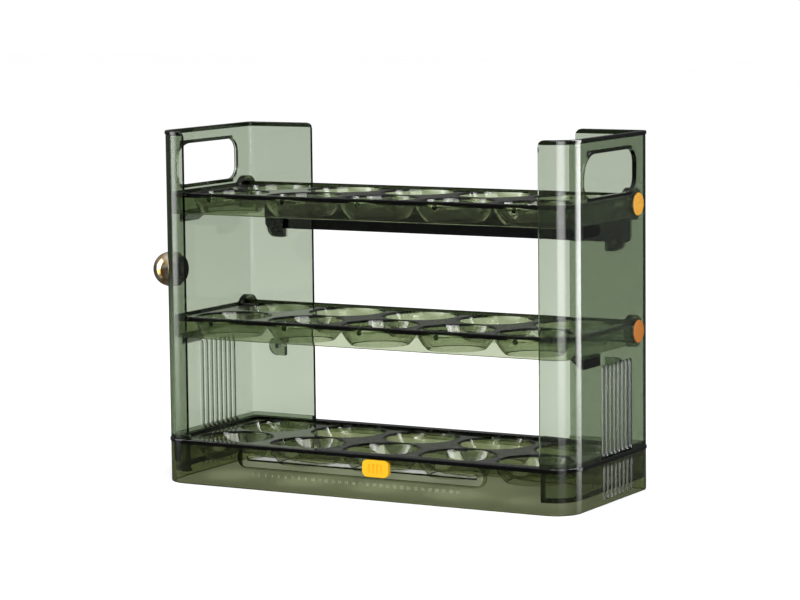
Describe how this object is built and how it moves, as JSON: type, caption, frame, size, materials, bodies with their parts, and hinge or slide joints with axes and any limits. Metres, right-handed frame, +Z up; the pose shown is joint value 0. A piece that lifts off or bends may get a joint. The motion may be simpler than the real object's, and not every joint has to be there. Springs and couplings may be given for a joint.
{
  "type": "tiered egg rack",
  "caption": "Clear green tiered egg rack: side frames plug into a base, the upper trays hinge up at the back, and a slider marks the date.",
  "frame": {"origin": "middle of the base's flat underside, between the side walls and between the front and back", "axes": "+X to the right as seen from the front, +Y to the back, +Z up"},
  "size_m": [0.282, 0.1039, 0.205],
  "materials": {
    "clear_green": "clear moulded plastic, polished",
    "black_bar": "satin",
    "orange_cap": "moulded",
    "yellow_slider": "moulded",
    "steel": "turned",
    "knob_metal": "polished"
  },
  "bodies": {
    "frame": {"base_shell": "clear_green", "bottom_tray": "clear_green", "left_side_frame": "clear_green", "right_side_frame": "clear_green", "rear_crossbar": "black_bar", "crossbar_screw_left": "steel", "crossbar_screw_right": "steel", "side_knob": "knob_metal", "middle_left_pivot_pin": "steel", "middle_left_pivot_cap": "orange_cap", "middle_right_pivot_pin": "steel", "middle_right_pivot_cap": "orange_cap", "top_left_pivot_pin": "steel", "top_left_pivot_cap": "orange_cap", "top_right_pivot_pin": "steel", "top_right_pivot_cap": "orange_cap"},
    "middle_tray": {"middle_tray": "clear_green"},
    "top_tray": {"top_tray": "clear_green"},
    "date_slider": {"date_slider": "yellow_slider", "slider_clip": "yellow_slider"}
  },
  "joints": [
    {"name": "top_tray_hinge", "type": "hinge", "parent": "frame", "child": "top_tray", "pos_m": [0, 0.038, 0.1642], "axis": [-1, 0, 0], "range_deg": [0, 97]},
    {"name": "middle_tray_hinge", "type": "hinge", "parent": "frame", "child": "middle_tray", "pos_m": [0, 0.038, 0.0922], "axis": [-1, 0, 0], "range_deg": [0, 40]},
    {"name": "date_slide", "type": "slide", "parent": "frame", "child": "date_slider", "axis": [1, 0, 0], "range_m": [-0.082, 0.058]}
  ]
}
